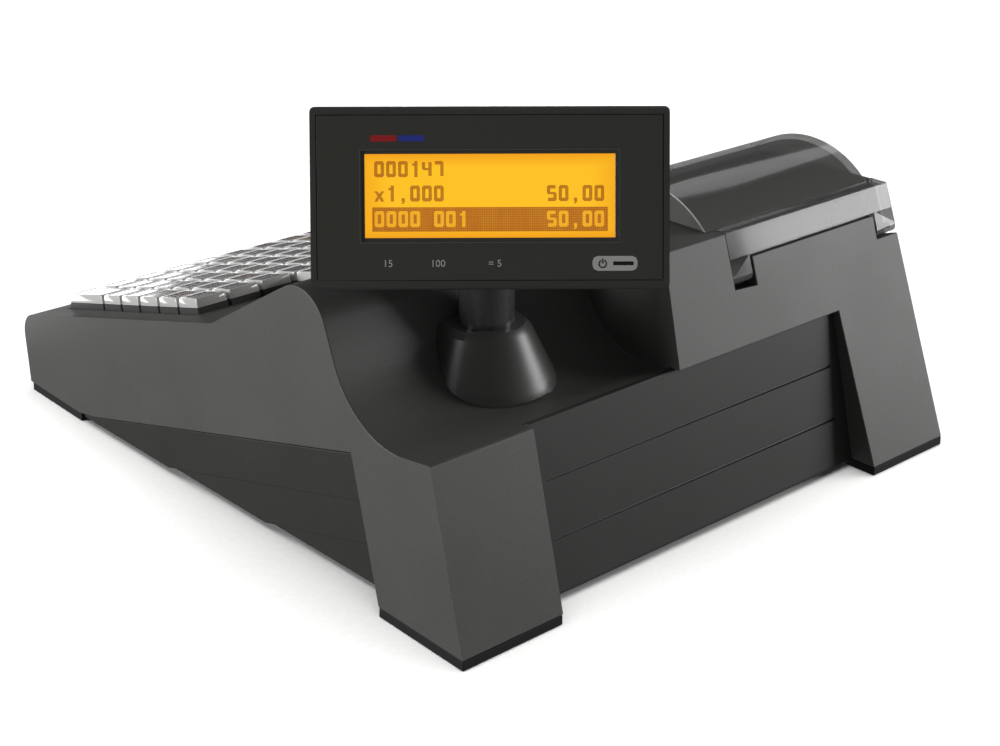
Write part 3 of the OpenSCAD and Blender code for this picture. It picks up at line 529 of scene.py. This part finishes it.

# %% [markdown]
# ## Pole, pedestal and display housing
# The pedestal is a soft cone that grows out of the scoop. The pole is a plain lacquered tube. The
# display's housing is two shells with a thin seam. The front shell's rounded rim catches a bright
# line, which is painted: its bevels take a smoother finish whose paler colour is a painted highlight.

# %% Pedestal, pole and housing
softened("pole_pedestal", 1.0, pedestal_abs, body="casing", slot="pedestal_plastic", crease=40)
softened("display_pole", 0.5, pole_lacquer, body="casing", slot="pole_lacquer")
softened("swivel_head", 0.5, display_abs, body="display_head", slot="display_plastic")
softened("display_rear_shell", 0.5, display_abs, body="customer_display", slot="display_plastic")
# The bezel's bevels take the second finish, with its painted highlight.
softened("display_front_bezel", 0.35, display_abs, display_painted_highlight, body="customer_display",
         slot="display_plastic", painted_highlight_index=1)
softened("display_panel", 0.25, panel_smoke, body="customer_display", slot="window_plastic")

# %% [markdown]
# ## The clear lid, its window and the paper bay
# The lid is copied in the same way. Its bevels take the pale edge colour, a painted highlight that
# makes each cut edge look lit, and its broad faces keep the smoked finish. The window is a darker
# sheet that the operator's screen shows through.

# %% Lid, operator's window and bay
lid = softened("printer_lid", 0.45, smoked_face, smoked_painted_edge_light, body="lid", slot="smoked_lid",
               crease=40, painted_highlight_index=1)
broad = 15 * MM * MM
for face in lid.data.polygons:
    if face.area > broad:
        face.material_index = 0
softened("operator_window", 0.3, window_smoke, body="casing", slot="window_plastic")
softened("paper_bay", 0.5, bay_abs, body="casing", slot="frame_plastic")

# %% [markdown]
# ## Keys
# A key is a dark skirt, a clear cap and a printed insert that shows through the cap's top. The
# register repeats it in fifteen columns, and each column moves as one body. One key is modelled
# at the origin, from a cube whose top is inset and sunk, and then copied to every place on the
# sloping deck. The first key of the first column is two rows long.

# %% The sizes of the keyboard, as the frame has them
deck_lean = math.radians(15.35)
deck_origin = Vector((0, -177 * MM, 48.3 * MM))
on_deck = Matrix.Translation(deck_origin) @ Matrix.Rotation(deck_lean, 4, "X")
row_pitch, key_w, key_d, first_row = 20.5 * MM, 17.8 * MM, 18.9 * MM, 3.7 * MM
skirt_low, skirt_top, cap_top = -0.9 * MM, 2.8 * MM, 7.7 * MM
ledge, cap_gap, cap_round = 0.9 * MM, 0.1 * MM, 0.45 * MM
rim_width, sink_width, sink_depth = 0.75 * MM, 0.12 * MM, 0.22 * MM


def key_model(name, depth, insert):
    """One key, with its front edge at y = 0 and the deck's surface at z = 0."""
    half = key_w / 2
    skirt = slab("skirt", (-half, 0, skirt_low), (half, depth, skirt_top))
    pick(skirt, faces=lambda f: f.normal.z > 0.9)
    bpy.ops.mesh.inset(thickness=ledge, depth=0)
    bpy.ops.transform.translate(value=(0, 0, 0.25 * MM))
    leave()
    modify(skirt, "BEVEL", width=0.25 * MM, segments=1, limit_method="ANGLE", angle_limit=1.0)
    dress(skirt, skirt_abs)

    edge = 0.2 * MM
    cap = slab("cap", (-half + edge, edge, skirt_top + cap_gap),
               (half - edge, depth - edge, cap_top))
    dress(cap, cap_clear, cap_painted_edge_light, insert)
    pick(cap, faces=lambda f: f.normal.z > 0.9)
    taper = 1 - 0.5 * MM / half
    bpy.ops.transform.resize(value=(taper, taper, 1), center_override=(0, depth / 2, cap_top))
    leave()
    # Its rounded faces take the second finish, the white painted highlight.
    modify(cap, "BEVEL", width=cap_round, segments=2, limit_method="ANGLE", angle_limit=0.9,
           material=1)
    pick(cap, faces=lambda f: f.normal.z > 0.99)
    bpy.ops.mesh.inset(thickness=rim_width, depth=0)
    bpy.ops.mesh.inset(thickness=sink_width, depth=-sink_depth)
    cap.active_material_index = 2
    bpy.ops.object.material_slot_assign()
    leave()
    map_insert(cap, depth)
    take(cap, skirt)
    bpy.ops.object.join()
    cap.name = name
    bpy.ops.object.shade_smooth_by_angle(angle=math.radians(30))
    return cap


def map_insert(cap, depth):
    """Spreads the insert's map over the top from 0 to 1."""
    mesh = cap.data
    for layer in list(mesh.uv_layers):
        mesh.uv_layers.remove(layer)
    layer = mesh.uv_layers.new(name="insert")
    for loop in mesh.loops:
        at = mesh.vertices[loop.vertex_index].co
        layer.data[loop.index].uv = (0.5 + at.x / (1.05 * key_w), at.y / depth)


single_key = key_model("single_key", key_d, insert_card)
double_key = key_model("double_key", row_pitch + key_d, insert_card)
red_key = key_model("red_key", key_d, insert_red)
yellow_key = key_model("yellow_key", key_d, insert_yellow)
print("one key:", len(single_key.data.polygons), "faces")

# %% [markdown]
# ## Columns of keys
# On the real register every key moves alone. Here a column is one body, so its seven or eight
# keys are joined into one piece. Each copy's map is shifted by whole numbers, which gives each key
# its own print. One red and one yellow key stand at the front of the eighth column.

# %% Copying keys into columns
def copy_of(model, place, name, shift=(0, 0)):
    made = model.copy()
    made.data = model.data.copy()
    made.name = name
    scene.collection.objects.link(made)
    made.data.transform(place)
    for layer in made.data.uv_layers:
        for corner in layer.data:
            corner.uv = Vector(corner.uv) + Vector(shift)
    return made


coloured = {(8, 0): red_key, (8, 1): yellow_key}
columns, short_columns = 15, 3         # the first three columns are one row short
for column in range(1, columns + 1):
    node = f"key_column_{column:02d}"
    low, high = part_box(node)
    middle = (low[0] + high[0]) / 2
    rows = 7 if column <= short_columns else 8
    keys = []
    for row in range(rows):
        model = coloured.get((column, row), single_key)
        if column == 1 and row == 0:
            model = double_key
        elif column == 1 and row == 1:
            continue
        place = on_deck @ Matrix.Translation((middle, first_row + row * row_pitch, 0))
        keys.append(copy_of(model, place, f"key_{column}_{row}", (column, row)))
    take(*keys)
    bpy.ops.object.join()
    keys[0].name = f"keys_{column:02d}"
    hand_over(keys[0], f"keys_{column:02d}", "key_plastic", node)
for model in (single_key, double_key, red_key, yellow_key):
    bpy.data.objects.remove(model)
print("columns of keys:", columns)

# %% [markdown]
# ## What the displays show
# A liquid crystal display draws with small square dots. The dots here form plain numbers: each
# digit is built from seven bars, up to three dots thick, as the simplest counters draw them. A
# bar is written as where its dots start and stop, across and then up. One dot is a flat plate
# that is modelled once and copied to every place that is on.

# %% The places of the dots in a line of characters
BARS = {"a": (1, 8, 11, 14), "b": (6, 9, 7, 13), "c": (6, 9, 1, 7), "d": (1, 8, 0, 3),
        "e": (0, 3, 1, 7), "f": (0, 3, 7, 13), "g": (1, 8, 6, 8),
        "i": (4, 7, 0, 14), "j": (2, 4, 10, 12)}
DIGITS = {"0": "abcdef", "1": "ij", "2": "abged", "3": "abgcd", "4": "fgbc", "5": "afgcd",
          "6": "afgedc", "7": "abc", "8": "abcdefg", "9": "abcdfg", " ": ""}


def dots_of(character):
    """The dots of one character, counted across and up from its lower left corner."""
    if character == ",":
        return [(i, j) for i in (3, 4, 5) for j in (0, 1, 2)] + [(4, -1), (5, -1), (3, -2), (4, -2)]
    if character == "x":
        return sorted({(i + k, j) for j in range(9) for k in range(3)
                       for i in (round(j * 0.7), 6 - round(j * 0.7))})
    return [(i, j) for bar in DIGITS[character] for i in range(*BARS[bar][:2])
            for j in range(*BARS[bar][2:])]


def line_of(text, left, bottom, pitch_x, pitch_z, step=11):
    """Centres of the dots of a line whose first character starts at (left, bottom)."""
    return [(left + (n * step + i + 0.5) * pitch_x, bottom + (j + 0.5) * pitch_z)
            for n, character in enumerate(text) for i, j in dots_of(character)]


# %% [markdown]
# ## Dots as plates
# Each dot is a plate of about 0.4 mm. A screen's dots of one colour are joined into one piece,
# which carries a map of the whole screen, so its colour fades towards the rim as the glow does.

# %% One dot, copied to every place
def plate(name, width, height, finish, rim=0.0):
    """A thin upright plate that faces -Y, with its corners clipped."""
    bpy.ops.object.select_all(action="DESELECT")
    bpy.ops.mesh.primitive_plane_add(size=1, rotation=(math.radians(90), 0, 0))
    made = bpy.context.object
    made.name = name
    made.scale = (width, height, 1)
    bpy.ops.object.transform_apply(location=True, rotation=True, scale=True)
    if rim:
        modify(made, "BEVEL", affect="VERTICES", width=rim, segments=2)
    dress(made, finish)
    return made


def dotted(name, places, size, depth, finish, at, width, height):
    """Copies one dot to all its places, as one piece with its own map of the whole screen."""
    dot = plate("dot", size[0], size[1], finish)
    shape = bmesh.new()
    for x, z in places:
        start = len(shape.verts)
        shape.from_mesh(dot.data)
        shape.verts.ensure_lookup_table()
        bmesh.ops.translate(shape, verts=shape.verts[start:], vec=(x, depth, z))
    shape.to_mesh(dot.data)
    shape.free()
    dot.name = name
    map_screen(dot, width, height)
    dot.data.transform(at)
    return dot


def map_screen(piece, width, height):
    for layer in list(piece.data.uv_layers):
        piece.data.uv_layers.remove(layer)
    layer = piece.data.uv_layers.new(name="lit")
    for loop in piece.data.loops:
        at = piece.data.vertices[loop.vertex_index].co
        layer.data[loop.index].uv = (0.5 + at.x / width, 0.5 + at.z / height)


# %% [markdown]
# ## The customer display's screen
# The screen stands in the display's own tilted frame: across, into the housing, and up. The frame
# is built here from the pole's axis, the swivel's direction and the tilt, and the plates are then
# put in front of the cell that the engineering model holds.

# %% The customer's screen
pole_axis = Vector((80.4, 107, 0)) * MM
tilt_axis = Vector((1.5, -34, 179.5)) * MM         # from the pole, once the display is turned
swivel, tilt = math.radians(139.6), math.radians(-20)
on_display = (Matrix.Translation(pole_axis) @ Matrix.Rotation(swivel, 4, "Z")
              @ Matrix.Translation(tilt_axis) @ Matrix.Rotation(tilt, 4, "X"))
lcd_w, lcd_h, lcd_up = 105.2 * MM, 35.1 * MM, 0.9 * MM
in_lcd = on_display @ Matrix.Translation((0, 0, lcd_up))


def screen(name, body, at, width, height, lines, band=None):
    """A lit cell with its dots. A band, if any, is its height on the screen and its own lines,
    which are bright on dark. The plates stand a few hundredths of a millimetre apart."""
    glow = plate(name + "_glow", width, height, lit_amber)
    map_screen(glow, width, height)
    glow.data.transform(at @ Matrix.Translation((0, -0.02 * MM, 0)))
    hand_over(glow, body, "lit_lcd")
    pitch, dot = (0.455 * MM, 0.48 * MM), (0.4 * MM, 0.42 * MM)
    dark = [p for text, left, up in lines for p in line_of(text, left * MM, up * MM, *pitch)]
    hand_over(dotted(name + "_dots", dark, dot, -0.05 * MM, dot_brown, at, width, height),
              body, "lit_lcd")
    if band:
        band_up, band_lines = band
        strip = plate(name + "_band", width - 6.0 * MM, 10.2 * MM, band_brown)
        strip.data.transform(Matrix.Translation((0, -0.04 * MM, band_up * MM)))
        map_screen(strip, width, height)
        strip.data.transform(at)
        hand_over(strip, body, "lit_lcd")
        bright = [p for text, left, up in band_lines
                  for p in line_of(text, left * MM, up * MM, *pitch)]
        hand_over(dotted(name + "_bright_dots", bright, dot, -0.07 * MM, dot_amber,
                         at, width, height), body, "lit_lcd")


screen("customer_screen", "customer_display", in_lcd @ Matrix.Translation((0, 1.65 * MM, 0)),
       lcd_w, lcd_h,
       [("000147", -48.6, 7.9), ("x1,000", -48.6, -2.3), ("50,00", 23.9, -2.3)],
       (-9.8, [("0000 001", -48.6, -13.0), ("50,00", 23.9, -13.0)]))
print("customer screen at", [round(v, 4) for v in in_lcd.translation])

# %% [markdown]
# ## Print on the display's panel
# The panel is screen printed: a thin frame line round the screen, a two-colour mark at the top
# left and a row of small numbers below. The marks here are plain and stand for no maker.

# %% Panel print
def printed_bar(name, x, z, width, height, finish, rim=0.0, depth=0.07):
    bar = plate(name, width * MM, height * MM, finish, rim * MM)
    bar.data.transform(on_display @ Matrix.Translation((x * MM, depth * MM, z * MM)))
    hand_over(bar, "customer_display", "window_plastic")


line = 0.3                             # the width of the frame line, in millimetres
frame_bars = ((-54.6, 0.7, line, 38.8), (54.6, 0.7, line, 38.8),
              (0, 20.1, 109.5, line), (0, -18.7, 109.5, line))
for index, (x, z, width, height) in enumerate(frame_bars):
    printed_bar(f"frame_line_{index}", x, z, width, height, print_grey)
printed_bar("mark_red", -44.6, 24.9, 11, 2.6, print_red, 0.6)
printed_bar("mark_blue", -32.9, 24.9, 11, 2.6, print_blue, 0.6)
print("frame lines:", len(frame_bars))

# %% [markdown]
# ## Numbers and the badge
# The small numbers are text that is turned into faces. The badge is a white plate with a line and
# the common sign of a switch: an open ring with a stroke. The ring is most of a circle of edges,
# extruded inwards.

# %% Small numbers, and a badge with a switch sign
def small_number(name, text, x, z, size_mm):
    bpy.ops.object.select_all(action="DESELECT")
    bpy.ops.object.text_add(rotation=(math.radians(90), 0, 0))
    made = bpy.context.object
    made.data.body, made.data.size, made.data.align_x = text, size_mm * MM, "CENTER"
    bpy.ops.object.convert(target="MESH")
    bpy.ops.object.transform_apply(location=True, rotation=True, scale=True)
    made.name = name
    dress(made, print_white)
    made.data.transform(on_display @ Matrix.Translation((x * MM, 0.07 * MM, z * MM)))
    hand_over(made, "customer_display", "window_plastic")


for index, (text, x) in enumerate((("15", -43), ("100", -22), ("= 5", 2))):
    small_number(f"panel_number_{index}", text, x, -28.8, 4.2)
printed_bar("badge_plate", 52.5, -27.6, 19, 6.2, print_white, 2.2)
printed_bar("badge_line", 56, -27.6, 8.6, 1.6, frame_abs, 0.4, 0.03)

bpy.ops.object.select_all(action="DESELECT")
bpy.ops.mesh.primitive_circle_add(radius=1.8 * MM, vertices=32, rotation=(math.radians(90), 0, 0))
ring = bpy.context.object
bpy.ops.object.transform_apply(location=True, rotation=True, scale=True)
pick(ring, edges=lambda e: abs(e.verts[0].co.x + e.verts[1].co.x) > 1.3 * MM
     or e.verts[0].co.z + e.verts[1].co.z < 0)
bpy.ops.mesh.extrude_region_move()
bpy.ops.transform.resize(value=(0.7, 0.7, 0.7), center_override=(0, 0, 0))
leave()
ring.name = "badge_switch_sign"
dress(ring, frame_abs)
ring.data.transform(on_display @ Matrix.Translation((47.3 * MM, 0.03 * MM, -27.8 * MM)))
hand_over(ring, "customer_display", "window_plastic")
printed_bar("badge_switch_stroke", 47.3, -26.6, 0.55, 2.2, frame_abs, 0, 0.03)
print("switch sign:", len(ring.data.polygons), "faces")

# %% [markdown]
# ## The operator's screen
# A second cell lies under a smoked window in the slope behind the keyboard. It shows the same sum
# to the operator, so the same function makes it, lying on the slope and facing up.

# %% The operator's screen
slope_lean = math.radians(30.6)
slope_origin = Vector((0, -1.7 * MM, (48.3 + (177 - 1.7) * math.tan(deck_lean)) * MM))
on_slope = Matrix.Translation(slope_origin) @ Matrix.Rotation(slope_lean, 4, "X")
window_place = Vector((80, 35, -3.0)) * MM
lying = Matrix.Translation(window_place) @ Matrix.Rotation(math.radians(-90), 4, "X")
screen("operator_screen", "casing", on_slope @ lying, 98 * MM, 28 * MM,
       [("000147", -45, 3.4), ("50,00", 20, 3.4), ("x1,000", -45, -9.6), ("50,00", 20, -9.6)])

# %% [markdown]
# ## The remaining nodes
# The boards, the keyboard's frame and mat, the spring and other pieces that hardly show keep the
# frame's exact shape. Each gets the finish of its real material.

# %% Finishes for the nodes that stay
stays = {
    case_red_abs: ["journal_module"],
    frame_abs: ["keyboard_frame"],
    mat_silicone: ["keyboard_rubber_mat"],
    circuit_board: ["keyboard_board", "operator_board", "display_board", "main_board"],
    sheet_steel: ["head_spring", "tear_bar"],
    head_ceramic: ["print_head"],
}
for finish, names in stays.items():
    for name in names:
        dress(nodes[name], finish)
cell_glass = clear_plastic("display_cell_glass", "#e0a01c", 1.0, 0.1)
for name in ("display_lcd", "operator_lcd"):
    dress(nodes[name], cell_glass)

# %% [markdown]
# ## Turned and small pieces
# Screws, pins, shafts and gears are turned or cut, and the last pass breaks their edges by about
# 0.15 mm. The same function copies them with that radius. The sockets, the battery and the paper
# have edges as small, so they are copied in the same way.

# %% Copies of the round and small nodes
edge_break = 0.15                      # in millimetres
rounds = [
    ("case_screws", screw_steel, "casing", "screw_steel"),
    ("pole_nut", display_abs, "casing", "display_plastic"),
    ("tilt_pin", pin_steel, "customer_display", "pin_steel"),
    ("display_screws", screw_steel, "customer_display", "screw_steel"),
    ("lid_hinge_pins", pin_steel, "casing", "pin_steel"),
    ("paper_roll", thermal_paper, "paper", "receipt_paper"),
    ("paper_core", grey_card, "paper", "core_card"),
    ("printer_frame", sheet_steel, "casing", "printer_steel"),
    ("platen_roller", platen_nitrile, "platen", "platen_rubber"),
    ("platen_shaft", pin_steel, "platen", "pin_steel"),
    ("platen_gear", gear_acetal, "platen", "gear_nylon"),
    ("idler_gear", gear_acetal, "idler", "gear_nylon"),
    ("motor_body", sheet_steel, "casing", "printer_steel"),
    ("motor_shaft", pin_steel, "motor_rotor", "pin_steel"),
    ("motor_pinion", pinion_brass, "motor_rotor", "pinion_brass"),
    ("power_socket", inlet_nylon, "casing", "socket_plastic"),
    ("data_sockets", socket_tin, "casing", "socket_shell"),
    ("battery_pack", cell_wrap, "casing", "battery_wrap"),
]
for name, finish, body, slot in rounds:
    softened(name, edge_break, finish, body=body, slot=slot, crease=40)
print("nodes with finishes of their own:", sum(map(len, stays.values())) + len(rounds))

# %% [markdown]
# ## The floor
# The floor is a matt white sheet. It has a lamp of its own, a broad sun that reaches nothing
# else, and it throws no light back, which keeps the undersides of the register dark. The
# register's shadow on it is soft.

# %% Floor and its lamp
bpy.ops.object.select_all(action="DESELECT")
bpy.ops.mesh.primitive_plane_add(size=14, location=(0, 0, cad_low[2] - 0.0002))
floor = bpy.context.object
floor.name = "floor"
dress(floor, moulded("studio_floor", "#fbfbfa", "#f7f7f6", 0.8, 3.0, 0.01, 0.02))
floor.visible_diffuse = False
floor.visible_glossy = False
floor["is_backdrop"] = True
floor_lamp_data = bpy.data.lights.new("floor_lamp", "SUN")
floor_lamp_data.energy, floor_lamp_data.angle = 3.4, math.radians(70)
floor_lamp = bpy.data.objects.new("floor_lamp", floor_lamp_data)
scene.collection.objects.link(floor_lamp)
floor_only = bpy.data.collections.new("floor_only")
floor_only.objects.link(floor)
floor_lamp.light_linking.receiver_collection = floor_only

# %% Both boxes, side by side
bpy.context.view_layer.update()
low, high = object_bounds()
print("frame box ", [round(v, 4) for v in (*cad_low, *cad_high)])
print("visual box", [round(v, 4) for v in (*low, *high)])
